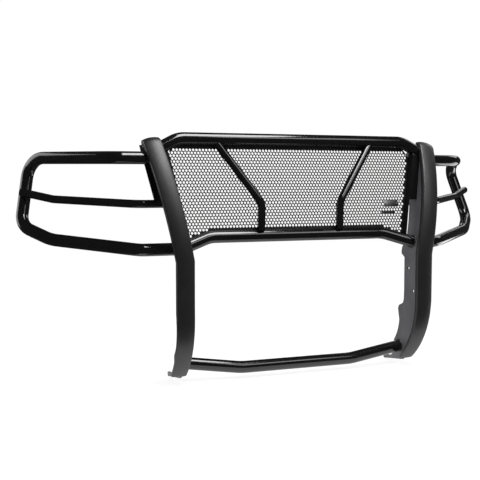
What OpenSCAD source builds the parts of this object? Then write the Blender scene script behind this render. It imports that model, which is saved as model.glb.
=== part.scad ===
// Wrap-around front grille guard for a full-size pickup truck.
// Two uprights with rubber pads carry a centre section (top bar, lower bar,
// struts and punched mesh), a low crossbar and one lamp wing on each side.
// Millimetres. X runs across the truck, -Y is the front, +Z is up.
// The origin is the bottom centre of the whole guard.

/* [Tubes] */
// Outer diameter of the main tubes
main_od = 44.5; // [38:0.5:50]
// Outer diameter of the struts and wing middle bars
thin_od = 28.6; // [22:0.2:32]
// Wall thickness of every tube
wall = 2.5; // [1.5:0.1:4]

/* [Uprights] */
// Distance from the middle of the guard to the middle of a lower pad
pad_x = 472; // [462:1:482]
// Height of the line where the uprights bend outwards
bend_z = 437; // [430:1:442]
// Outward tilt of the upper part of an upright, in degrees
splay = 11; // [10:0.2:12]
// Radius of the knee, the lower front curve
knee_r = 300; // [296:1:304]
// Sweep of the knee curve, in degrees
knee_sweep = 52.5; // [51:0.5:54]
// Radius of the long backward curve above the bend
lean_r = 785; // [770:5:800]
// Sweep of the long backward curve, in degrees
lean_sweep = 31.5; // [31:0.25:32]
// Radius of the crown over the top of a pad
crown_r = 40; // [38:1:44]
// Thickness of the upright plates
plate_t = 6; // [4:0.5:8]
// Depth of an upright from the front of the pad to the rear edge
plate_depth = 118; // [116:1:124]

/* [Pads] */
// Width of the rubber pads
pad_w = 68; // [60:1:72]
// Depth of the rubber pads
pad_t = 24; // [20:1:25]
// Radius of the crowned front of the pads
pad_crown = 95; // [80:1:140]
// Thickness of the steel strip behind a pad
strip_t = 4; // [3:0.5:5]

/* [Mesh] */
// Thickness of the punched sheet
sheet_t = 2; // [1.5:0.1:3]
// Spacing of the hexagonal holes along a row
hole_pitch = 30.5; // [30:0.5:60]
// Width of a hexagonal hole across its flats
hole_af = 22; // [14:0.5:25]
// Plain border round the punched area
border = 8; // [7:0.5:14]
// Backward lean of the sheet, in degrees
mesh_lean = 10.7; // [10.4:0.1:11]

/* [Mounting] */
// Diameter of the mounting holes in the upright plates
bolt_hole = 14; // [10:0.5:18]

/* [Hidden] */
$fn = 64;
BIG = 1200;
RING_SIDES = 20;
BEND_STEPS = 6;
KNEE_STEPS = 14;
LEAN_STEPS = 12;
CROWN_STEPS = 8;
in_face = -20;
out_face = in_face + plate_t;
strip_d = pad_t + strip_t;
knee_z = 260;
knee_c = [knee_r, knee_z];
lean_c = [lean_r, bend_z];
toe_r = 30;
tip_r = 8;
tip_y = 257;
toe_narrow = 0.12;
toe_shift = 9;
toe_thin = 0.5;
crown_c = lean_c + (lean_r - crown_r) * [-cos(lean_sweep), sin(lean_sweep)];
crown_run = 10;
strip_x0 = in_face;
strip_w = 50;
hole_up = [90, 376];
hole_low = [57, 291];

// Centre lines of the tubes: corner points on the right-hand side
top_corner = [452, 152, 857];
top_end = [571, 142, 796];
low_corner = [348, 114, 513];
low_end = [498, 66, 466];
cross_corner = [224, 128, 38];
cross_end = [470, 152, 70];
top_bend = 100;
low_bend = 110;
cross_bend = 250;
strut_path = [[316, 152, 853], [157.4, 95, 632], [158, 98, 533]];
strut_bend = [60];
loop_path = [[470, 144, 788], [697, 144, 788], [890, 430, 791], [914, 488, 749],
             [953, 419, 550], [867, 317, 504], [598, 122, 473], [440, 122, 473]];
loop_bend = [84, 100, 46, 69, 150, 60];
mid_path = [[470, 143, 630], [604, 143, 630], [848, 357, 644], [950, 430, 669]];
mid_bend = [82, 66];

// Mesh outline, and the height where the sheet meets its reference depth
mesh_y = 109;
mesh_z = 514;
mesh_low = [432, 498];
mesh_high = [494.5, 813.5];
mesh_top = [462, 837];
flange_d = 30;
ear_t = 4;
ear_z = [632, 800];
brace_low = [135.8, 648];
brace_high = [190, 846];
brace_t = 5;

badge = [62, 24, 3];
badge_at = [394, 622];
tag = [55, 10, 2];
tag_at = [378, 590];

front_y = 0;
rear_y = max([for (q = path_points(loop_path, loop_bend)) q.y]) + main_od / 2;
mid_y = (front_y + rear_y) / 2;

// ---- functions -------------------------------------------------------

function unit(v) = v / norm(v);

// Turn angle at inner point i of path p
function turn(p, i) = acos(unit(p[i] - p[i - 1]) * unit(p[i + 1] - p[i]));

// Length taken off each side of point i by a bend of radius r
function setback(p, i, r) = r * tan(turn(p, i) / 2);

// Direction from the start of the bend at point i to its centre
function inward(p, i) =
    let (u = unit(p[i] - p[i - 1]), v = unit(p[i + 1] - p[i]))
    unit(v - u * (u * v));

function bend_start(p, i, r) = p[i] - unit(p[i] - p[i - 1]) * setback(p, i, r);

// Points along the bends of a path
function path_points(p, r) = [
    for (i = [1 : len(p) - 2], k = [0 : 12])
        let (a = turn(p, i) * k / 12,
             u = unit(p[i] - p[i - 1]),
             w = inward(p, i),
             q = r[i - 1])
        bend_start(p, i, q) + w * q * (1 - cos(a)) + u * q * sin(a)];

// Points on an arc in the side view of an upright
function arc(c, r, a0, a1, n) = [
    for (i = [0 : n]) let (a = a0 + (a1 - a0) * i / n) c + r * [cos(a), sin(a)]];

function mirrored(p) = [for (q = p) [-q.x, q.y, q.z]];

// ---- building blocks ---------------------------------------------------

module place() {
    translate([0, -mid_y, 0]) children();
}

// Copy of a right-hand piece on the left
module left() {
    mirror([1, 0, 0]) children();
}

// Closed body through a list of rings that all have the same number of points
module skin(rings) {
    n = len(rings[0]);
    m = len(rings);
    walls = [for (j = [0 : m - 2], i = [0 : n - 1])
        [j * n + i, (j + 1) * n + i, (j + 1) * n + (i + 1) % n, j * n + (i + 1) % n]];
    first = [for (i = [0 : n - 1]) i];
    last = [for (i = [n - 1 : -1 : 0]) (m - 1) * n + i];
    polyhedron(points = [for (r = rings) each r], faces = concat(walls, [first], [last]));
}

// Pipe whose ends are open: outer and inner rings with a flat annulus at each end
module pipe(outer, inner) {
    n = len(outer[0]);
    m = len(outer);
    k = n * m;
    out_wall = [for (j = [0 : m - 2], i = [0 : n - 1])
        [j * n + i, (j + 1) * n + i, (j + 1) * n + (i + 1) % n, j * n + (i + 1) % n]];
    in_wall = [for (j = [0 : m - 2], i = [0 : n - 1])
        [k + j * n + i, k + j * n + (i + 1) % n, k + (j + 1) * n + (i + 1) % n,
         k + (j + 1) * n + i]];
    start = [for (i = [0 : n - 1]) [i, (i + 1) % n, k + (i + 1) % n, k + i]];
    base = (m - 1) * n;
    end = [for (i = [0 : n - 1])
        [base + (i + 1) % n, base + i, k + base + i, k + base + (i + 1) % n]];
    polyhedron(points = concat([for (r = outer) each r], [for (r = inner) each r]),
               faces = concat(out_wall, in_wall, start, end));
}

// Stations along a bent path: [position, direction]
function stations(p, r) =
    let (last = len(p) - 1)
    concat(
        [[p[0], unit(p[1] - p[0])]],
        [for (i = [1 : last - 1], k = [0 : BEND_STEPS])
            let (a = turn(p, i) * k / BEND_STEPS,
                 u = unit(p[i] - p[i - 1]),
                 w = inward(p, i),
                 q = r[i - 1])
            [bend_start(p, i, q) + w * q * (1 - cos(a)) + u * q * sin(a),
             u * cos(a) + w * sin(a)]],
        [[p[last], unit(p[last] - p[last - 1])]]);

// Side vector carried from one station to the next without twisting
function carried(st, i, v) =
    let (w = unit(v - st[i][1] * (v * st[i][1])))
    i == len(st) - 1 ? [w] : concat([w], carried(st, i + 1, w));

// Rings of radius q round the stations
function rings(st, q) =
    let (sides = carried(st, 0, [0.1, 0.3, 1]))
    [for (i = [0 : len(st) - 1])
        let (e = sides[i], f = cross(st[i][1], e))
        [for (k = [0 : RING_SIDES - 1])
            let (a = 360 * (k + 0.5) / RING_SIDES)
            st[i][0] + (e * cos(a) + f * sin(a)) * q]];

// Ring slid along the direction u onto the plane through c with normal n
function slid(ring, u, c, n) = [for (q = ring) q + u * (((c - q) * n) / (u * n))];

// The first and last ring cut to planes given as [point, normal]; [] leaves a ring as it is
function trimmed(rg, st, cut0, cut1) =
    let (m = len(rg) - 1)
    [for (i = [0 : m])
        i == 0 && len(cut0) > 0 ? slid(rg[0], st[0][1], cut0[0], cut0[1])
        : i == m && len(cut1) > 0 ? slid(rg[m], st[m][1], cut1[0], cut1[1])
        : rg[i]];

// Solid round bar along a path
module bar(p, r, d) {
    skin(rings(stations(p, r), d / 2));
}

// Pipe along a path with a bend of its own radius at each inner point
module tube(p, r, d, cut0 = [], cut1 = []) {
    st = stations(p, r);
    pipe(trimmed(rings(st, d / 2), st, cut0, cut1),
         trimmed(rings(st, d / 2 - wall), st, cut0, cut1));
}

// Upright shape: the children drawn flat, bent outwards at the bend line
module bent() {
    translate([pad_x, 0, 0]) {
        intersection() {
            children();
            mitre(-1);
        }
        intersection() {
            translate([0, 0, bend_z])
                rotate([0, splay, 0])
                    translate([0, 0, -bend_z])
                        children();
            mitre(1);
        }
    }
}

// Half space below (-1) or above (1) the mitre plane of the bend
module mitre(side) {
    translate([0, 0, bend_z])
        rotate([0, splay / 2, 0])
            translate([-BIG, -BIG, side < 0 ? -2 * BIG : 0])
                cube(2 * BIG);
}

// Space between the inner faces of the two uprights, on the right half
module inboard() {
    bent() translate([in_face - BIG, -BIG / 2, -BIG / 2]) cube([BIG, 2 * BIG, 2 * BIG]);
}

// Plane of the flat position x of an upright, as [point, normal]
function lower_face(x) = [[pad_x + x, 0, 0], [1, 0, 0]];
function upper_face(x) =
    [[pad_x + x * cos(splay), 0, bend_z - x * sin(splay)], [cos(splay), 0, -sin(splay)]];
function left_face(f) = [[-f[0].x, f[0].y, f[0].z], [-f[1].x, f[1].y, f[1].z]];

// Stations up the front curve: [y, z, inward y, inward z]
function arc_stations(c, r, a0, a1, n, first) =
    [for (i = [first : n]) let (a = a0 + (a1 - a0) * i / n)
        [c.x + r * cos(a), c.y + r * sin(a), -cos(a), -sin(a)]];

front_line = concat(
    arc_stations(knee_c, knee_r, 180 + knee_sweep, 180, KNEE_STEPS, 0),
    [[0, bend_z, 1, 0]],
    arc_stations(lean_c, lean_r, 180, 180 - lean_sweep, LEAN_STEPS, 1),
    arc_stations(crown_c, crown_r, 180 - lean_sweep, 90, CROWN_STEPS, 1),
    [[crown_c.x + crown_run, crown_c.y + crown_r, 0, -1]]);

// Share of the taper at station i: 1 at the lower end, 0 from the top of the knee on
function taper(i) = max(0, 1 - i / KNEE_STEPS);

// Lower end of a pad: narrower, thinner and moved towards the middle of the guard
function tapered_x(x, f) = x * (1 - toe_narrow * f) - toe_shift * f;
function tapered_d(d, f) = d * (1 - toe_thin * f);

// Flat point of an upright moved to its place on the bent upright
function placed(x, y, z) =
    z < bend_z - 0.001 ? [pad_x + x, y, z]
    : z < bend_z + 0.001 ? [pad_x + x, y, z - x * tan(splay / 2)]
    : [pad_x + x * cos(splay) + (z - bend_z) * sin(splay), y,
       bend_z - x * sin(splay) + (z - bend_z) * cos(splay)];

// Section given as [x, depth] points, swept up the front curve of an upright
module front_sweep(section) {
    skin([for (i = [0 : len(front_line) - 1])
        let (t = front_line[i], f = taper(i))
        [for (q = section)
            let (d = tapered_d(q.y, f))
            placed(tapered_x(q.x, f), t[0] + d * t[2], t[1] + d * t[3])]]);
}

pad_section = concat(
    [for (i = [-5 : 5]) let (x = i * pad_w / 10)
        [x, pad_crown - sqrt(pad_crown * pad_crown - x * x)]],
    [[pad_w / 2, pad_t], [-pad_w / 2, pad_t]]);

strip_section = [
    [strip_x0, pad_t], [strip_x0 + strip_w, pad_t],
    [strip_x0 + strip_w, strip_d], [strip_x0, strip_d]];

// Side view of an upright plate
module plate_outline() {
    knee_end = 180 + knee_sweep;
    toe_c = knee_c + (knee_r - toe_r) * [cos(knee_end), sin(knee_end)];
    polygon(concat(
        arc(toe_c, toe_r, knee_end, 270, 10),
        arc([tip_y, tip_r], tip_r, 270, 450, 8),
        [[212, 2 * tip_r + 2], [192, 34], [186, 56], [187, 76]],
        arc([300, 187], 151, 222, 187, 8),
        [[160, 212], [154, 226], [126, 238], [plate_depth + 2, 252], [plate_depth, 285]],
        [[plate_depth, 416], [138, 428], [140, 448], [plate_depth + 10, 470]],
        arc(lean_c, lean_r - plate_depth, 177, 180 - lean_sweep - 3, 24),
        arc(crown_c + [58, crown_r - strip_d - 21], 21, 10, 90, 6),
        arc(crown_c, crown_r - strip_d, 90, 180 - lean_sweep, CROWN_STEPS),
        arc(lean_c, lean_r - strip_d, 180 - lean_sweep, 180, LEAN_STEPS),
        [for (i = [KNEE_STEPS : -1 : 0])
            let (a = 180 + knee_sweep * taper(i))
            knee_c + (knee_r - tapered_d(strip_d, taper(i))) * [cos(a), sin(a)]]));
}

module x_bore(at, d) {
    translate([in_face - 1, at.x, at.y])
        rotate([0, 90, 0])
            cylinder(d = d, h = plate_t + 2);
}

// ---- right-hand pieces -----------------------------------------------------

module plate() {
    difference() {
        bent()
            translate([in_face, 0, 0])
                rotate([90, 0, 90])
                    linear_extrude(plate_t)
                        plate_outline();
        translate([pad_x, 0, 0]) {
            x_bore(hole_up, bolt_hole);
            x_bore(hole_low, bolt_hole);
        }
    }
}

module strip() {
    front_sweep(strip_section);
}

module pad() {
    difference() {
        front_sweep(pad_section);
        top_solid();
    }
}

// Nut and stud end that hold a pad on its strip
module pad_nut() {
    rotate([0, -90, 0]) {
        cylinder(d = 15, h = 6.5, $fn = 6);
        translate([0, 0, 6.5]) cylinder(d = 8, h = 4);
    }
}

// Nut on the back of the strip, in the middle of flat number k of a curve
module nut_on(c, r, a0, step, k) {
    translate([8, c.x, c.y])
        rotate([90, 0, 90])
            rotate([0, 0, a0 + step * (k + 0.5)])
                translate([(r - strip_d) * cos(step / 2), 0, 0]) pad_nut();
}

module pad_nuts() {
    bent() {
        for (z = [280, 340, 400])
            translate([8, strip_d, z]) rotate([0, 0, -90]) rotate([180, 0, 0]) pad_nut();
        for (k = [2, 5, 8]) nut_on(lean_c, lean_r, 180, -lean_sweep / LEAN_STEPS, k);
    }
}

module loop() {
    tube(loop_path, loop_bend, main_od, upper_face(out_face), upper_face(out_face));
}

module middle_bar() {
    difference() {
        tube(mid_path, mid_bend, thin_od, upper_face(out_face));
        rod(loop_path[3], loop_path[4], main_od);
    }
}

// Straight solid cylinder from a to b
module rod(a, b, d) {
    u = unit(b - a);
    translate(a)
        rotate([0, acos(u.z), atan2(u.y, u.x)])
            cylinder(d = d, h = norm(b - a));
}

// Straight strip behind the upper pad, on the outer face of the plate
module brace() {
    difference() {
        bent()
            translate([out_face, 0, 0])
                rotate([90, 0, 90])
                    linear_extrude(strip_x0 + strip_w - out_face)
                        polygon([brace_low, brace_low + [brace_t, 0],
                                 brace_high + [brace_t, 0], brace_high]);
        bar(mid_path, mid_bend, thin_od);
    }
}

module strut() {
    difference() {
        tube(strut_path, strut_bend, thin_od);
        rod([0, top_corner.y, top_corner.z], [380, top_corner.y, top_corner.z], main_od);
        rod([0, low_corner.y, low_corner.z], [300, low_corner.y, low_corner.z], main_od);
    }
}

// ---- centre section ----------------------------------------------------------

function across(end, corner) = concat(mirrored([end, corner]), [corner, end]);

module centre_tube(end, corner, r, face) {
    tube(across(end, corner), [r, r], main_od, left_face(face), face);
}

module top_solid() {
    bar(across(top_end, top_corner), [top_bend, top_bend], main_od);
}

module low_solid() {
    bar(across(low_end, low_corner), [low_bend, low_bend], main_od);
}

// Sheet frame: the child is drawn flat as [x, up the sheet] with its back at y 0
module on_mesh() {
    translate([0, mesh_y, mesh_z])
        rotate([-mesh_lean, 0, 0])
            children();
}

// Height z as a distance up the sheet
function up(z) = (z - mesh_z) / cos(mesh_lean);

module mesh_outline() {
    polygon([
        [-mesh_low.x, up(mesh_low.y)], [mesh_low.x, up(mesh_low.y)],
        [mesh_high.x, up(mesh_high.y)], [mesh_top.x, up(mesh_top.y)],
        [mesh_top.x - 6, up(845)], [6 - mesh_top.x, up(845)],
        [-mesh_top.x, up(mesh_top.y)], [-mesh_high.x, up(mesh_high.y)]]);
}

// Half width of the punched area at a distance s up the sheet
function half_width(s) =
    let (low = up(mesh_low.y),
         high = up(mesh_high.y),
         top = up(mesh_top.y),
         side = mesh_low.x + (mesh_high.x - mesh_low.x) * (s - low) / (high - low),
         chamfer = mesh_high.x + (mesh_top.x - mesh_high.x) * (s - high) / (top - high))
    min(side, chamfer) - border - hole_af / 2;

// Lowest hole centre at a distance x from the middle
function floor_at(x) = up(abs(x) < 340 ? 544 : 544 - (abs(x) - 340) * 0.32);

module holes() {
    row = hole_pitch * sin(60);
    rows = floor((up(825) - up(510)) / row);
    for (j = [0 : rows]) {
        s = up(824) - j * row;
        shift = j % 2 * hole_pitch / 2;
        n = floor((half_width(s) + shift) / hole_pitch);
        for (i = [-n : n]) {
            x = i * hole_pitch + shift;
            if (abs(x) < half_width(s) && s > floor_at(x))
                translate([x, s]) rotate(30) circle(d = hole_af / cos(30), $fn = 6);
        }
    }
}

module sheet() {
    difference() {
        on_mesh()
            rotate([90, 0, 0])
                linear_extrude(sheet_t)
                    difference() {
                        mesh_outline();
                        holes();
                    }
        top_solid();
        low_solid();
    }
}

module flange() {
    run = [mesh_high.x - mesh_low.x, up(mesh_high.y) - up(mesh_low.y)];
    difference() {
        on_mesh()
            translate([mesh_low.x, 0, up(mesh_low.y)])
                rotate([0, atan2(run.x, run.y), 0])
                    translate([0, -flange_d, 0])
                        cube([sheet_t, flange_d, norm(run)]);
        top_solid();
        low_solid();
    }
}

module ear() {
    intersection() {
        on_mesh()
            translate([mesh_low.x, -flange_d - ear_t, up(ear_z[0])])
                cube([150, ear_t, up(ear_z[1]) - up(ear_z[0])]);
        inboard();
        ear_side();
    }
}

// Space outside the inner face of the mesh flange
module ear_side() {
    run = [mesh_high.x - mesh_low.x, up(mesh_high.y) - up(mesh_low.y)];
    on_mesh()
        translate([mesh_low.x, 0, up(mesh_low.y)])
            rotate([0, atan2(run.x, run.y), 0])
                translate([0, -200, -200])
                    cube([400, 400, 900]);
}

module on_sheet(at, size) {
    on_mesh()
        translate([at.x - size.x / 2, -sheet_t - size.z, up(at.y) - size.y / 2])
            cube([size.x, size.z, size.y]);
}

// ---- named pieces ----------------------------------------------------------------

module upright_plate_left() { color("#2a2b2d") place() left() plate(); }
module upright_plate_right() { color("#2a2b2d") place() plate(); }
module pad_strip_left() { color("#202124") place() left() strip(); }
module pad_strip_right() { color("#202124") place() strip(); }
module pad_left() { color("#3a3b3d") place() left() pad(); }
module pad_right() { color("#3a3b3d") place() pad(); }
module pad_nuts_left() { color("#6b6d70") place() left() pad_nuts(); }
module pad_nuts_right() { color("#6b6d70") place() pad_nuts(); }
module top_bar() { color("#111214") place() centre_tube(top_end, top_corner, top_bend, upper_face(in_face)); }
module lower_bar() { color("#111214") place() centre_tube(low_end, low_corner, low_bend, upper_face(in_face)); }
module crossbar() { color("#111214") place() centre_tube(cross_end, cross_corner, cross_bend, lower_face(in_face)); }
module strut_left() { color("#111214") place() left() strut(); }
module strut_right() { color("#111214") place() strut(); }
module mesh_panel() { color("#1b1c1e") place() sheet(); }
module mesh_flange_left() { color("#1b1c1e") place() left() flange(); }
module mesh_flange_right() { color("#1b1c1e") place() flange(); }
module mesh_ear_left() { color("#141517") place() left() ear(); }
module mesh_ear_right() { color("#141517") place() ear(); }
module wing_loop_left() { color("#111214") place() left() loop(); }
module wing_loop_right() { color("#111214") place() loop(); }
module wing_middle_bar_left() { color("#111214") place() left() middle_bar(); }
module wing_middle_bar_right() { color("#111214") place() middle_bar(); }
module wing_brace_left() { color("#141517") place() left() brace(); }
module wing_brace_right() { color("#141517") place() brace(); }
module badge_plate() { color("#55565a") place() on_sheet(badge_at, badge); }
module badge_tag() { color("#0d0d0f") place() on_sheet(tag_at, tag); }

upright_plate_left();
upright_plate_right();
pad_strip_left();
pad_strip_right();
pad_left();
pad_right();
pad_nuts_left();
pad_nuts_right();
top_bar();
lower_bar();
crossbar();
strut_left();
strut_right();
mesh_panel();
mesh_flange_left();
mesh_flange_right();
mesh_ear_left();
mesh_ear_right();
wing_loop_left();
wing_loop_right();
wing_middle_bar_left();
wing_middle_bar_right();
wing_brace_left();
wing_brace_right();
badge_plate();
badge_tag();
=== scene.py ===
import math
import random

import bmesh
import bpy
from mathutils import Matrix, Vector

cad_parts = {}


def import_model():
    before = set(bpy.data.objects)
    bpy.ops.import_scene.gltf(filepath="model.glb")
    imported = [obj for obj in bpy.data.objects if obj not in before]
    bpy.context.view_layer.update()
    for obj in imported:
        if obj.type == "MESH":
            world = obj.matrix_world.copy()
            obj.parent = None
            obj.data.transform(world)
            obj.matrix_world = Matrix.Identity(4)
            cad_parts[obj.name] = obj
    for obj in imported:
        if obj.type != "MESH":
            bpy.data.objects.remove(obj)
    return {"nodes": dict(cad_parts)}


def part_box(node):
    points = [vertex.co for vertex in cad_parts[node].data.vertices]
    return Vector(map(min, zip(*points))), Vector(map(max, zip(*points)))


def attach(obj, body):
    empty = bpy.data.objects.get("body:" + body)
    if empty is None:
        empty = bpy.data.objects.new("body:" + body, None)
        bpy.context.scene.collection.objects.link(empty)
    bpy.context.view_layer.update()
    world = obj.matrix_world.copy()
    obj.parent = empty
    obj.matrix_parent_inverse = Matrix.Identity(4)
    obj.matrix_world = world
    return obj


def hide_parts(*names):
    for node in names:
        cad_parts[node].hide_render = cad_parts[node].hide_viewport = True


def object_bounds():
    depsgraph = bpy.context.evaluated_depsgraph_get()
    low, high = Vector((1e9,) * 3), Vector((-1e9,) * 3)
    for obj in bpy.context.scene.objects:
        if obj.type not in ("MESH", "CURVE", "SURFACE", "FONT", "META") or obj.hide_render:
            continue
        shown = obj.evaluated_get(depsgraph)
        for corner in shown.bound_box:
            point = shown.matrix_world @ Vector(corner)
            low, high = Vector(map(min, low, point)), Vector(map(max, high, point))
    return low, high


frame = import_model()
cad_lo, cad_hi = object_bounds()
random.seed(7)
scene = bpy.context.scene
scene.view_settings.view_transform = "Standard"

# ---- sizes, in millimetres, in the guard's own frame ---------------------------
# Y is counted from the front of the pads.
MM = 0.001
FRONT_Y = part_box("pad_right")[0][1]

# Tube radii, a little under the CAD ones so that the visual model stays in the CAD box
MAIN_R = 22.05
THIN_R = 14.15
TUBE_SIDES = 40
BEND_STEPS = 16
# Where the first point of a tube's first ring lies; no tube starts along this direction
RING_START = Vector((0.1, 0.3, 1.0))

# Uprights: middle of a lower pad, the line where they bend outwards, plate faces
PAD_X = 472.0
BEND_Z = 437.0
# A height this close to the bend line counts as on it
TINY = 0.001
SPLAY = math.radians(11.0)
IN_FACE = -20.0
OUT_FACE = -14.0

# Front curve of an upright, from the knee to the crown
KNEE_R, KNEE_Z, KNEE_SWEEP = 300.0, 260.0, 52.5
LEAN_R, LEAN_SWEEP = 785.0, 31.5
CROWN_R, CROWN_RUN = 40.0, 10.0
KNEE_STEPS, FLAT_STEPS, LEAN_STEPS, CROWN_STEPS = 36, 6, 30, 16

# Pads: section, clearance inside the CAD pad, shoulders, eased back edge
PAD_W, PAD_T, PAD_CROWN = 68.0, 24.0, 95.0
PAD_CLEAR = 0.2
SHOULDER_R, SHOULDER_STEPS, FACE_STEPS = 7.0, 7, 10
BACK_EASE_X, BACK_EASE_D = 1.5, 2.0
# How the lower end of a pad narrows, moves inwards and thins
TOE_NARROW, TOE_SHIFT, TOE_THIN = 0.12, 9.0, 0.5
# Rounding of a pad's ends: inset of the section, distance from the end
PAD_ENDS = [(4.5, 0.3), (2.6, 0.6), (1.2, 1.6), (0.4, 3.2), (0.0, 5.5)]

# Punched mesh: sheet, holes, corners of the sheet and of the punched area as (x, z)
SHEET_T = 2.0
HOLE_PITCH = 12.2
HOLE_AF = 8.8
MESH_Y, MESH_Z, MESH_LEAN = 109.0, 514.0, math.radians(10.7)
MESH_LOW, MESH_HIGH, MESH_TOP = (432.0, 498.0), (494.5, 813.5), (462.0, 837.0)
MESH_PEAK = (456.0, 845.0)
PUNCHED_HIGH, PUNCHED_TOP = (493.0, 806.0), (452.0, 834.0)
PUNCHED_RIM = 4.5
# Hole centres stay between these heights; the lower limit follows the lower bar,
# level in the middle and then falling
HOLES_UNDER = 828
HOLES_OVER, LEVEL_TO, FALL = 541.0, 340.0, 0.32
# The grid of hexagons reaches past the sheet, which is then cut to its outline
GRID_LOW, GRID_HIGH, GRID_COLUMNS = 490, 848, 42
# Grid corners this close together, in mm, are one
GRID_SNAP = 0.05

# Weld beads
WELD_R, WELD_SIDES, WELD_SPLIT = 3.2, 8, 3
WELD_RIPPLE, WELD_PACE, WELD_SCATTER = 0.16, 1.35, 0.08

# Centre lines of the tubes: corner points on the right-hand side, and bend radii
TOP_CORNER, TOP_END, TOP_BEND = (452, 152, 857), (571, 142, 796), 100
LOW_CORNER, LOW_END, LOW_BEND = (348, 114, 513), (498, 66, 466), 110
CROSS_CORNER, CROSS_END, CROSS_BEND = (224, 128, 38), (470, 152, 70), 250
STRUT = [(316, 152, 853), (157.4, 95, 632), (158, 98, 533)]
STRUT_BENDS = [60]
LOOP = [(470, 144, 788), (697, 144, 788), (890, 430, 791), (914, 488, 749),
        (953, 419, 550), (867, 317, 504), (598, 122, 473), (440, 122, 473)]
LOOP_BENDS = [84, 100, 46, 69, 150, 60]
MID = [(470, 143, 630), (604, 143, 630), (848, 357, 644), (950, 430, 669)]
MID_BENDS = [82, 66]

# Badge and tag on the mesh: middle as (x, z), then width, height and thickness
BADGE_AT, BADGE_SIZE, BADGE_CORNER = (394, 622), (62, 24, 3.0), 3.0
TAG_AT, TAG_SIZE, TAG_CORNER = (378, 590), (55, 10, 2.0), 2.0
PLATE_EDGE, CORNER_STEPS = 0.6, 6
# Screws: distance from the badge's middle, head radius and height, rings and sides;
# the last ring stops short of the pole, which leaves a small flat
SCREW_X, SCREW_R, SCREW_H = 26, 2.6, 1.3
SCREW_RINGS, SCREW_POLE, SCREW_SIDES = 6, 5.5, 16

# ---- light, in metres ----------------------------------------------------------
# Strength of the world as matt surfaces and the camera see it, and in reflections
PAPER, ROOM = 1.02, 0.05
FLOOR_HALF, FLOOR_GLOW, FLOOR_GAP = 60.0, 0.76, 0.0005
# Name, place, aim, width, depth, radiance
LAMPS = (
    ("overhead_box", (0.24, -0.95, 2.5), (0.24, -0.95, 0.0), 1.08, 1.5, 8.0),
    ("front_box", (1.3, -2.3, 2.5), (0.3, -0.3, 0.6), 1.2, 1.0, 2.3),
    ("right_box", (2.2, 0.5, 2.1), (0.3, 0.0, 0.8), 1.2, 0.9, 2.0),
    ("left_card", (-2.25, 1.58, 1.35), (-0.9, 0.15, 0.8), 1.8, 2.4, 1.7),
    ("paper_card", (0.2, -0.05, 0.004), (0.2, -0.05, 1.0), 1.8, 0.6, 0.8),
    ("right_card", (2.1, 0.15, 0.004), (2.1, 0.15, 1.0), 1.9, 1.4, 3.0),
    ("back_right_card", (2.2, 1.9, 1.5), (0.6, -0.1, 0.8), 1.2, 1.0, 1.2))


def at(x, y, z):
    """A point of the guard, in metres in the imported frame."""
    return Vector((x * MM, y * MM + FRONT_Y, z * MM))


# ---- camera --------------------------------------------------------------------
CAM_AZ = math.radians(22.185)
CAM_PITCH = math.radians(3.796)
CAM_AT = at(-1459.8, -2893.4, 714.6)
CAM_LENS = 68.6
CAM_SENSOR = 36.0
CAM_FAR = 100.0


def make_camera():
    level = math.cos(CAM_PITCH)
    aim = Vector((math.sin(CAM_AZ) * level, math.cos(CAM_AZ) * level, -math.sin(CAM_PITCH)))
    data = bpy.data.cameras.new("camera")
    data.lens = CAM_LENS
    data.sensor_width = CAM_SENSOR
    data.clip_end = CAM_FAR
    cam = bpy.data.objects.new("camera", data)
    scene.collection.objects.link(cam)
    cam.location = CAM_AT
    cam.rotation_euler = aim.to_track_quat("-Z", "Y").to_euler()
    scene.camera = cam


make_camera()


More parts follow.
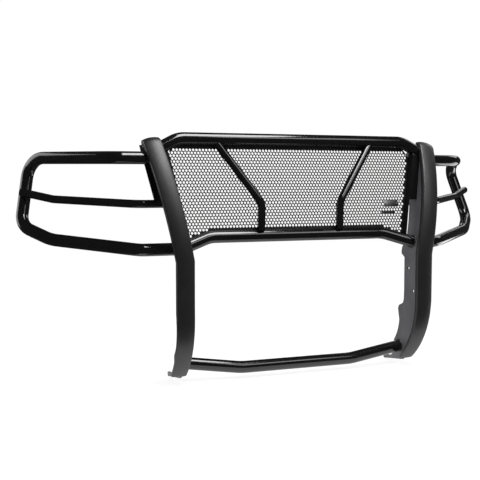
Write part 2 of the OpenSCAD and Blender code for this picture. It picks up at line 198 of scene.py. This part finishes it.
# ---- materials -----------------------------------------------------------------
class Mat:
    """A Principled material whose colour, roughness and bump follow noise on the object."""

    # The part of the noise over which the colour goes from its low to its high shade
    BLEND = (0.3, 0.7)

    def __init__(self, name, rough, metallic=0.0, coat=0.0, specular=0.5):
        self.mat = bpy.data.materials.new(name)
        self.mat.use_nodes = True
        self.nt = self.mat.node_tree
        self.bsdf = self.nt.nodes["Principled BSDF"]
        for key, value in (("Roughness", rough), ("Metallic", metallic), ("IOR", 1.5),
                           ("Coat Weight", coat), ("Coat Roughness", 0.05),
                           ("Specular IOR Level", specular)):
            self.bsdf.inputs[key].default_value = value
        self.coord = self.nt.nodes.new("ShaderNodeTexCoord")
        self.normal = None

    def noise(self, scale, detail, stretch=None):
        n = self.nt.nodes.new("ShaderNodeTexNoise")
        n.inputs["Scale"].default_value = scale
        n.inputs["Detail"].default_value = detail
        place = self.coord.outputs["Object"]
        if stretch:
            m = self.nt.nodes.new("ShaderNodeMapping")
            m.inputs["Scale"].default_value = stretch
            self.nt.links.new(place, m.inputs["Vector"])
            place = m.outputs["Vector"]
        self.nt.links.new(place, n.inputs["Vector"])
        return n.outputs["Fac"]

    def colour(self, fac, low, high):
        r = self.nt.nodes.new("ShaderNodeValToRGB")
        for end, place, shade in zip(r.color_ramp.elements, self.BLEND, (low, high)):
            end.position = place
            end.color = (*shade, 1.0)
        self.nt.links.new(fac, r.inputs["Fac"])
        self.nt.links.new(r.outputs["Color"], self.bsdf.inputs["Base Color"])

    def roughness(self, fac, low, high):
        r = self.nt.nodes.new("ShaderNodeMapRange")
        r.inputs["To Min"].default_value = low
        r.inputs["To Max"].default_value = high
        self.nt.links.new(fac, r.inputs["Value"])
        self.nt.links.new(r.outputs["Result"], self.bsdf.inputs["Roughness"])

    def bump(self, fac, strength, distance):
        """Adds a layer of bump on top of any earlier one."""
        b = self.nt.nodes.new("ShaderNodeBump")
        b.inputs["Strength"].default_value = strength
        b.inputs["Distance"].default_value = distance
        self.nt.links.new(fac, b.inputs["Height"])
        if self.normal is not None:
            self.nt.links.new(self.normal, b.inputs["Normal"])
        self.normal = b.outputs["Normal"]
        self.nt.links.new(self.normal, self.bsdf.inputs["Normal"])


def gloss_coat():
    m = Mat("gloss_black_coat", 0.1, specular=1.0)
    m.colour(m.noise(9.0, 2.0), (0.0012, 0.0012, 0.0013), (0.0024, 0.0024, 0.0026))
    m.roughness(m.noise(35.0, 3.0), 0.07, 0.15)
    m.bump(m.noise(420.0, 2.0), 0.05, 0.0006)
    return m.mat


def satin_coat_painted_reflection():
    m = Mat("satin_black_painted_reflection", 0.36)
    # The coat is black; this grey base colour is painted reflection, standing in for the pale
    # surroundings that the plates reflect
    m.colour(m.noise(14.0, 4.0), (0.055, 0.053, 0.057), (0.075, 0.072, 0.078))
    m.roughness(m.noise(60.0, 4.0), 0.3, 0.44)
    m.bump(m.noise(900.0, 2.0), 0.12, 0.0004)
    return m.mat


def mesh_coat():
    m = Mat("mesh_black_coat", 0.34)
    m.colour(m.noise(20.0, 3.0), (0.006, 0.006, 0.0065), (0.011, 0.011, 0.012))
    m.roughness(m.noise(80.0, 3.0), 0.26, 0.4)
    m.bump(m.noise(1200.0, 2.0), 0.1, 0.0003)
    return m.mat


def pad_rubber():
    m = Mat("pad_rubber", 0.45, specular=1.0)
    m.colour(m.noise(6.0, 4.0), (0.0042, 0.0041, 0.0042), (0.0068, 0.0067, 0.007))
    m.roughness(m.noise(22.0, 4.0), 0.4, 0.52)
    m.bump(m.noise(650.0, 3.0), 0.22, 0.0006)
    m.bump(m.noise(40.0, 2.0), 0.06, 0.002)
    return m.mat


def weld_metal():
    m = Mat("weld_black_coat", 0.3, coat=0.3)
    m.colour(m.noise(60.0, 3.0), (0.008, 0.008, 0.009), (0.02, 0.02, 0.021))
    m.roughness(m.noise(150.0, 3.0), 0.22, 0.42)
    m.bump(m.noise(700.0, 2.0), 0.25, 0.0008)
    return m.mat


def zinc():
    m = Mat("zinc_plate", 0.4, metallic=1.0)
    m.colour(m.noise(90.0, 3.0), (0.36, 0.36, 0.37), (0.55, 0.55, 0.56))
    m.roughness(m.noise(200.0, 3.0), 0.3, 0.5)
    m.bump(m.noise(800.0, 2.0), 0.1, 0.0003)
    return m.mat


def badge_metal():
    """Metal brushed across the badge."""
    m = Mat("badge_metal", 0.35, metallic=1.0)
    m.colour(m.noise(60.0, 3.0, (1.0, 40.0, 40.0)), (0.30, 0.30, 0.31), (0.42, 0.42, 0.43))
    m.roughness(m.noise(120.0, 3.0, (1.0, 40.0, 40.0)), 0.28, 0.42)
    m.bump(m.noise(300.0, 2.0, (1.0, 30.0, 30.0)), 0.08, 0.0003)
    return m.mat


def ear_coat():
    m = Mat("ear_black_coat", 0.55, specular=0.2)
    m.colour(m.noise(20.0, 3.0), (0.0015, 0.0015, 0.0016), (0.003, 0.003, 0.0032))
    m.roughness(m.noise(80.0, 3.0), 0.45, 0.6)
    m.bump(m.noise(1200.0, 2.0), 0.1, 0.0003)
    return m.mat


def tag_plastic():
    m = Mat("tag_plastic", 0.5)
    m.colour(m.noise(30.0, 3.0), (0.010, 0.010, 0.011), (0.018, 0.018, 0.019))
    m.roughness(m.noise(90.0, 3.0), 0.42, 0.58)
    m.bump(m.noise(900.0, 2.0), 0.15, 0.0003)
    return m.mat


def floor_paper():
    """Pale paper that gives part of its own light, so that it reads as white."""
    m = Mat("floor_paper", 0.9, specular=0.1)
    m.colour(m.noise(3.0, 2.0), (0.24, 0.24, 0.24), (0.26, 0.26, 0.26))
    m.bsdf.inputs["Emission Color"].default_value = (1.0, 1.0, 1.0, 1.0)
    m.bsdf.inputs["Emission Strength"].default_value = FLOOR_GLOW
    return m.mat


GLOSS = gloss_coat()
SATIN_PAINTED_REFLECTION = satin_coat_painted_reflection()
MESH = mesh_coat()
RUBBER = pad_rubber()
WELD = weld_metal()
ZINC = zinc()
BADGE = badge_metal()
TAG = tag_plastic()
EAR = ear_coat()


# ---- mesh helpers --------------------------------------------------------------
def make(name, verts, faces, mat, smooth=True, angle=40.0):
    """A piece of the guard; edges that turn more than the angle, in degrees, stay sharp."""
    me = bpy.data.meshes.new(name)
    me.from_pydata([tuple(v) for v in verts], [], faces)
    me.validate()
    bm = bmesh.new()
    bm.from_mesh(me)
    bmesh.ops.recalc_face_normals(bm, faces=bm.faces)
    sharp = math.radians(angle)
    for e in bm.edges:
        e.smooth = not (len(e.link_faces) == 2 and e.calc_face_angle(0.0) > sharp)
    for f in bm.faces:
        f.smooth = smooth
    bm.to_mesh(me)
    bm.free()
    me.materials.append(mat)
    o = bpy.data.objects.new(name, me)
    scene.collection.objects.link(o)
    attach(o, "root")
    return o


def loft(rings, cap=True):
    """Vertices and faces through rings of equal length; caps close the two ends."""
    n = len(rings[0])
    verts = [v for r in rings for v in r]
    faces = []
    for j in range(len(rings) - 1):
        for i in range(n):
            k = (i + 1) % n
            faces.append((j * n + i, j * n + k, (j + 1) * n + k, (j + 1) * n + i))
    if cap:
        faces.append(tuple(range(n - 1, -1, -1)))
        faces.append(tuple((len(rings) - 1) * n + i for i in range(n)))
    return verts, faces


def mm_points(rings):
    return [[at(*v) for v in r] for r in rings]


def even_angles(n):
    return [2 * math.pi * k / n for k in range(n)]


def bent_stations(points, radii):
    """(position, direction) along a path with a round bend at each inner point."""
    pts = [Vector(p) for p in points]
    out = [(pts[0], (pts[1] - pts[0]).normalized())]
    for i, r in enumerate(radii, start=1):
        u = (pts[i] - pts[i - 1]).normalized()
        v = (pts[i + 1] - pts[i]).normalized()
        turn = u.angle(v)
        w = (v - u * u.dot(v)).normalized()
        start = pts[i] - u * (r * math.tan(turn / 2))
        for k in range(BEND_STEPS + 1):
            a = turn * k / BEND_STEPS
            out.append((start + w * r * (1 - math.cos(a)) + u * r * math.sin(a),
                        u * math.cos(a) + w * math.sin(a)))
    out.append((pts[-1], (pts[-1] - pts[-2]).normalized()))
    return out


def tube_rings(stations, radius):
    """Rings round the stations, carried along without twisting."""
    side = RING_START
    rings = []
    for pos, d in stations:
        side = (side - d * side.dot(d)).normalized()
        other = d.cross(side)
        rings.append([pos + (side * math.cos(a) + other * math.sin(a)) * radius
                      for a in even_angles(TUBE_SIDES)])
    return rings


def slid(ring, d, point, normal):
    """The ring moved along d onto the plane through point."""
    return [q + d * ((point - q).dot(normal) / d.dot(normal)) for q in ring]


def upper_face(x, side):
    """Plane of the flat position x on the upper part of an upright."""
    p = Vector((side * (PAD_X + x * math.cos(SPLAY)), 0.0, BEND_Z - x * math.sin(SPLAY)))
    return p, Vector((side * math.cos(SPLAY), 0.0, -math.sin(SPLAY)))


def lower_face(x, side):
    """Plane of the flat position x on the lower part of an upright."""
    return Vector((side * (PAD_X + x), 0.0, 0.0)), Vector((float(side), 0.0, 0.0))


# ---- tubes and their welds -----------------------------------------------------
weld_sites = []


def tube(name, node, points, radii, radius, cut0=None, cut1=None):
    """A bent tube in place of a CAD node; an end that is cut to a plate gets a weld."""
    st = bent_stations(points, radii)
    rings = tube_rings(st, radius)
    if cut0:
        rings[0] = slid(rings[0], st[0][1], *cut0)
        weld_sites.append((rings[0], st[0][1]))
    if cut1:
        rings[-1] = slid(rings[-1], st[-1][1], *cut1)
        weld_sites.append((rings[-1], -st[-1][1]))
    v, f = loft(mm_points(rings))
    o = make(name, v, f, GLOSS)
    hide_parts(node)


def weld_bead(name, ring, d):
    """A rippled bead round the mouth of a tube that meets a plate."""
    n = len(ring)
    centre = sum(ring, Vector()) / n
    dense = [ring[i].lerp(ring[(i + 1) % n], k / WELD_SPLIT)
             for i in range(n) for k in range(WELD_SPLIT)]
    rings = []
    for i, p in enumerate(dense):
        out = (p - centre).normalized()
        r = WELD_R * (1.0 + WELD_RIPPLE * math.sin(i * WELD_PACE) + WELD_SCATTER * random.random())
        rings.append([p + out * (r * math.cos(a)) + d * (r * math.sin(a))
                      for a in even_angles(WELD_SIDES)])
    rings.append(rings[0])
    v, f = loft(mm_points(rings), cap=False)
    make(name, v, f, WELD)


def flipped(points, side):
    return [(side * x, y, z) for x, y, z in points]


def centre_tube(name, node, end, corner, bend, face):
    """A tube from upright to upright, bent at a corner on each side."""
    tube(name, node, flipped([end, corner], -1) + [corner, end], [bend, bend], MAIN_R,
         face(IN_FACE, -1), face(IN_FACE, 1))


centre_tube("top_bar_tube", "top_bar", TOP_END, TOP_CORNER, TOP_BEND, upper_face)
centre_tube("lower_bar_tube", "lower_bar", LOW_END, LOW_CORNER, LOW_BEND, upper_face)
centre_tube("crossbar_tube", "crossbar", CROSS_END, CROSS_CORNER, CROSS_BEND, lower_face)
for side, word in ((1, "right"), (-1, "left")):
    plate_face = upper_face(OUT_FACE, side)
    tube("strut_tube_" + word, "strut_" + word, flipped(STRUT, side), STRUT_BENDS, THIN_R)
    tube("wing_loop_tube_" + word, "wing_loop_" + word, flipped(LOOP, side), LOOP_BENDS, MAIN_R,
         plate_face, plate_face)
    tube("wing_middle_tube_" + word, "wing_middle_bar_" + word, flipped(MID, side), MID_BENDS,
         THIN_R, plate_face)
for i, (ring, d) in enumerate(weld_sites):
    weld_bead("weld_%02d" % i, ring, d)


# ---- pads ----------------------------------------------------------------------
def placed(x, y, z, side):
    """Flat point of an upright moved to its place on the bent upright."""
    if z < BEND_Z - TINY:
        return Vector((side * (PAD_X + x), y, z))
    if z < BEND_Z + TINY:
        return Vector((side * (PAD_X + x), y, z - x * math.tan(SPLAY / 2)))
    h = z - BEND_Z
    return Vector((side * (PAD_X + x * math.cos(SPLAY) + h * math.sin(SPLAY)), y,
                   BEND_Z - x * math.sin(SPLAY) + h * math.cos(SPLAY)))


def arc_line(c, r, a0, a1, n, first):
    """Points on an arc as (y, z, inward y, inward z)."""
    out = []
    for i in range(first, n + 1):
        a = math.radians(a0 + (a1 - a0) * i / n)
        out.append((c[0] + r * math.cos(a), c[1] + r * math.sin(a), -math.cos(a), -math.sin(a)))
    return out


def front_line():
    """The front curve of an upright, from its lower end up."""
    ls = math.radians(LEAN_SWEEP)
    reach = LEAN_R - CROWN_R
    crown = (LEAN_R - reach * math.cos(ls), BEND_Z + reach * math.sin(ls))
    line = arc_line((KNEE_R, KNEE_Z), KNEE_R, 180 + KNEE_SWEEP, 180, KNEE_STEPS, 0)
    line += [(0.0, KNEE_Z + (BEND_Z - KNEE_Z) * k / FLAT_STEPS, 1.0, 0.0)
             for k in range(1, FLAT_STEPS + 1)]
    line += arc_line((LEAN_R, BEND_Z), LEAN_R, 180, 180 - LEAN_SWEEP, LEAN_STEPS, 1)
    line += arc_line(crown, CROWN_R, 180 - LEAN_SWEEP, 90, CROWN_STEPS, 1)
    line.append((crown[0] + CROWN_RUN, crown[1] + CROWN_R, 0.0, -1.0))
    return line


def pad_section(inset=0.0):
    """Crowned pad section as (x, depth), with round shoulders."""
    flat = PAD_W / 2 - inset - SHOULDER_R

    def depth(x):
        return PAD_CROWN - math.sqrt(PAD_CROWN ** 2 - x ** 2) + inset + PAD_CLEAR

    right = [(flat * i / FACE_STEPS, depth(flat * i / FACE_STEPS)) for i in range(FACE_STEPS + 1)]
    tilt = math.asin(flat / PAD_CROWN)
    for k in range(1, SHOULDER_STEPS + 1):
        a = tilt + (math.pi / 2 - tilt) * k / SHOULDER_STEPS
        right.append((flat + SHOULDER_R * (math.sin(a) - math.sin(tilt)),
                      depth(flat) + SHOULDER_R * (math.cos(tilt) - math.cos(a))))
    edge = right[-1][0]
    right += [(edge, PAD_T - BACK_EASE_D), (edge - BACK_EASE_X, PAD_T - PAD_CLEAR)]
    return [(-x, d) for x, d in reversed(right)] + right[1:]


def pad_ring(t, section, side, share, slide=0.0):
    """The section at station t: share is the toe's taper, slide a move along the curve."""
    y, z, in_y, in_z = t
    out = []
    for x, d in section:
        x = x * (1 - TOE_NARROW * share) - TOE_SHIFT * share
        d = d * (1 - TOE_THIN * share)
        out.append(placed(x, y + d * in_y - in_z * slide, z + d * in_z + in_y * slide, side))
    return out


def pad(side, word):
    line = front_line()
    full = pad_section()
    rings = [pad_ring(line[0], pad_section(inset), side, 1.0, step) for inset, step in PAD_ENDS]
    # The second station is left out, because it nearly meets the rounded end
    rings += [pad_ring(t, full, side, max(0.0, 1 - i / KNEE_STEPS))
              for i, t in enumerate(line[2:-1], start=2)]
    rings += [pad_ring(line[-1], pad_section(inset), side, 0.0, -step)
              for inset, step in reversed(PAD_ENDS)]
    v, f = loft(mm_points(rings))
    o = make("pad_rubber_" + word, v, f, RUBBER, angle=50.0)
    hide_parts("pad_" + word)


pad(1, "right")
pad(-1, "left")


# ---- punched mesh --------------------------------------------------------------
def up(z):
    """Height z as a distance up the sheet."""
    return (z - MESH_Z) / math.cos(MESH_LEAN)


def on_mesh(x, s, y=0.0):
    """Point x across and s up the sheet, y mm behind its back face."""
    c, n = math.cos(MESH_LEAN), math.sin(MESH_LEAN)
    return at(x, MESH_Y + s * n + y * c, MESH_Z + s * c - y * n)


def half_width(s, inset):
    """Half the width of the punched area at s, less the inset."""
    low, high, top = up(MESH_LOW[1]), up(PUNCHED_HIGH[1]), up(PUNCHED_TOP[1])
    a = MESH_LOW[0] + (PUNCHED_HIGH[0] - MESH_LOW[0]) * (s - low) / (high - low)
    b = PUNCHED_HIGH[0] + (PUNCHED_TOP[0] - PUNCHED_HIGH[0]) * (s - high) / (top - high)
    return min(a, b) - inset


def punched(x, s):
    """Whether the grid's hexagon at x, s has a hole."""
    lowest = HOLES_OVER - max(0.0, abs(x) - LEVEL_TO) * FALL
    return abs(x) < half_width(s, PUNCHED_RIM + HOLE_AF / 2) and up(lowest) < s < up(HOLES_UNDER)


def hexagon(x, s, across_flats):
    r = across_flats / 2 / math.cos(math.radians(30))
    return [(x + r * math.cos(math.radians(90 + 60 * k)), s + r * math.sin(math.radians(90 + 60 * k)))
            for k in range(6)]


def hexagon_grid(bm):
    """Hexagons side by side, each a ring round its hole or a plain face."""
    cache = {}

    def shared(x, s):
        key = (round(x / GRID_SNAP), round(s / GRID_SNAP))
        if key not in cache:
            cache[key] = bm.verts.new((x, s, 0.0))
        return cache[key]

    row = HOLE_PITCH * math.sin(math.radians(60))
    rows = int((up(GRID_HIGH) - up(GRID_LOW)) / row) + 1
    for j in range(rows):
        s = up(HOLES_UNDER) - (j - 1) * row
        for i in range(-GRID_COLUMNS, GRID_COLUMNS + 1):
            x = (i + (j % 2) / 2) * HOLE_PITCH
            ring = [shared(*c) for c in hexagon(x, s, HOLE_PITCH)]
            if punched(x, s):
                hole = [bm.verts.new((*c, 0.0)) for c in hexagon(x, s, HOLE_AF)]
                for k in range(6):
                    m = (k + 1) % 6
                    bm.faces.new((ring[k], ring[m], hole[m], hole[k]))
            else:
                bm.faces.new(ring)


def cut_to_outline(bm):
    """Everything outside the sheet's outline is taken off, one straight edge at a time."""
    right = [MESH_LOW, MESH_HIGH, MESH_TOP, MESH_PEAK]
    outline = [(x, up(z)) for x, z in right] + [(-x, up(z)) for x, z in reversed(right)]
    for (x0, s0), (x1, s1) in zip(outline, outline[1:] + outline[:1]):
        bmesh.ops.bisect_plane(bm, geom=bm.verts[:] + bm.edges[:] + bm.faces[:],
                               plane_co=(x0, s0, 0.0), plane_no=(s1 - s0, x0 - x1, 0.0),
                               clear_outer=True)


def punched_sheet():
    bm = bmesh.new()
    hexagon_grid(bm)
    cut_to_outline(bm)
    flat = [v.co.copy() for v in bm.verts]
    bm.verts.index_update()
    faces = [tuple(v.index for v in f.verts) for f in bm.faces]
    rim = [tuple(v.index for v in e.verts) for e in bm.edges if len(e.link_faces) == 1]
    bm.free()
    n = len(flat)
    verts = [on_mesh(c.x, c.y, -SHEET_T) for c in flat] + [on_mesh(c.x, c.y, 0.0) for c in flat]
    solid = faces + [tuple(n + k for k in reversed(f)) for f in faces]
    solid += [(a, b, n + b, n + a) for a, b in rim]
    o = make("punched_sheet", verts, solid, MESH, smooth=False)
    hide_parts("mesh_panel")


punched_sheet()


# ---- badge and tag -------------------------------------------------------------
def soft_plate(name, node, spot, size, corner, mat):
    """A flat plate with round corners and eased edges, on the front of the sheet."""
    w, h, t = size
    s0 = up(spot[1])
    mid = PLATE_EDGE * 0.35
    loops = []
    for inset, y in ((0.0, 0.0), (0.0, t - PLATE_EDGE), (mid, t - mid), (PLATE_EDGE, t)):
        ring = []
        for qx, qz, a0 in ((1, 1, 0), (-1, 1, 90), (-1, -1, 180), (1, -1, 270)):
            for k in range(CORNER_STEPS + 1):
                a = math.radians(a0 + 90 * k / CORNER_STEPS)
                ring.append((spot[0] + qx * (w / 2 - corner) + (corner - inset) * math.cos(a),
                             s0 + qz * (h / 2 - corner) + (corner - inset) * math.sin(a),
                             -SHEET_T - y))
        loops.append([on_mesh(*p) for p in ring])
    v, f = loft(loops)
    o = make(name, v, f, mat, angle=50.0)
    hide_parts(node)


def dome_screw(name, x, z, y):
    """A low domed screw head, y mm in front of the sheet."""
    s0 = up(z)
    rings = []
    for k in range(SCREW_RINGS):
        a = math.radians(90 * k / SCREW_POLE)
        r = SCREW_R * math.cos(a)
        rings.append([on_mesh(x + r * math.cos(b), s0 + r * math.sin(b),
                              -SHEET_T - y - SCREW_H * math.sin(a)) for b in even_angles(SCREW_SIDES)])
    v, f = loft(rings)
    make(name, v, f, ZINC)


soft_plate("badge_face", "badge_plate", BADGE_AT, BADGE_SIZE, BADGE_CORNER, BADGE)
soft_plate("tag_face", "badge_tag", TAG_AT, TAG_SIZE, TAG_CORNER, TAG)
for i, dx in enumerate((-SCREW_X, SCREW_X)):
    dome_screw("badge_screw_%d" % i, BADGE_AT[0] + dx, BADGE_AT[1], BADGE_SIZE[2])


# ---- carried-over CAD nodes ----------------------------------------------------
# Start of the node's name, material, and width of the eased edge in metres
# The upright plates and pad strips take the satin coat, whose grey base colour is painted reflection
CARRIED = (("upright_plate_", SATIN_PAINTED_REFLECTION, 0.0008), ("pad_strip_", SATIN_PAINTED_REFLECTION, 0.0005),
           ("pad_nuts_", ZINC, 0.0004), ("mesh_flange_", EAR, 0.0004),
           ("mesh_ear_", EAR, 0.0005), ("wing_brace_", EAR, 0.0007))
MERGE_GAP = 0.00001
EDGE_ANGLE = math.radians(35)


def finish_node(node, mat, width):
    """Material and eased edges by modifiers; the node's own mesh stays as packed."""
    o = frame["nodes"][node]
    o.data.materials.clear()
    o.data.materials.append(mat)
    for p in o.data.polygons:
        p.material_index = 0
    merge = o.modifiers.new("weld", "WELD")
    merge.merge_threshold = MERGE_GAP
    ease = o.modifiers.new("edge", "BEVEL")
    ease.width = width
    ease.segments = 2
    ease.limit_method = "ANGLE"
    ease.angle_limit = EDGE_ANGLE
    # Large flat faces keep their shading beside the eased edges
    shading = o.modifiers.new("normals", "WEIGHTED_NORMAL")
    shading.weight = 100
    shading.keep_sharp = True


for word in ("left", "right"):
    for stem, mat, width in CARRIED:
        finish_node(stem + word, mat, width)


# ---- floor, light and world ----------------------------------------------------
def floor():
    me = bpy.data.meshes.new("floor")
    corners = [(-1, -1), (1, -1), (1, 1), (-1, 1)]
    me.from_pydata([(FLOOR_HALF * x, FLOOR_HALF * y, 0) for x, y in corners], [], [(0, 1, 2, 3)])
    me.materials.append(floor_paper())
    o = bpy.data.objects.new("floor", me)
    o.location.z = cad_lo[2] - FLOOR_GAP
    o.visible_glossy = False
    scene.collection.objects.link(o)


def world():
    """White to the camera and to matt surfaces; a dim room in reflections."""
    w = bpy.data.worlds.new("studio")
    w.use_nodes = True
    nt = w.node_tree
    seen = nt.nodes.new("ShaderNodeLightPath")
    mix = nt.nodes.new("ShaderNodeMix")
    mix.data_type = "FLOAT"
    mix.inputs[2].default_value = PAPER
    mix.inputs[3].default_value = ROOM
    nt.links.new(seen.outputs["Is Glossy Ray"], mix.inputs[0])
    nt.links.new(mix.outputs[0], nt.nodes["Background"].inputs["Strength"])
    nt.nodes["Background"].inputs["Color"].default_value = (1.0, 1.0, 1.0, 1.0)
    w.cycles.sampling_method = "NONE"
    scene.world = w


def softbox(name, spot, aim, wide, deep, radiance):
    """A rectangular lamp of even radiance, which the camera doesn't see."""
    d = bpy.data.lights.new(name, "AREA")
    d.shape = "RECTANGLE"
    d.size = wide
    d.size_y = deep
    d.energy = radiance * math.pi * wide * deep
    o = bpy.data.objects.new(name, d)
    o.location = spot
    o.rotation_euler = (Vector(aim) - Vector(spot)).to_track_quat("-Z", "Y").to_euler()
    o.visible_camera = False
    scene.collection.objects.link(o)


floor()
world()
for lamp in LAMPS:
    softbox(*lamp)
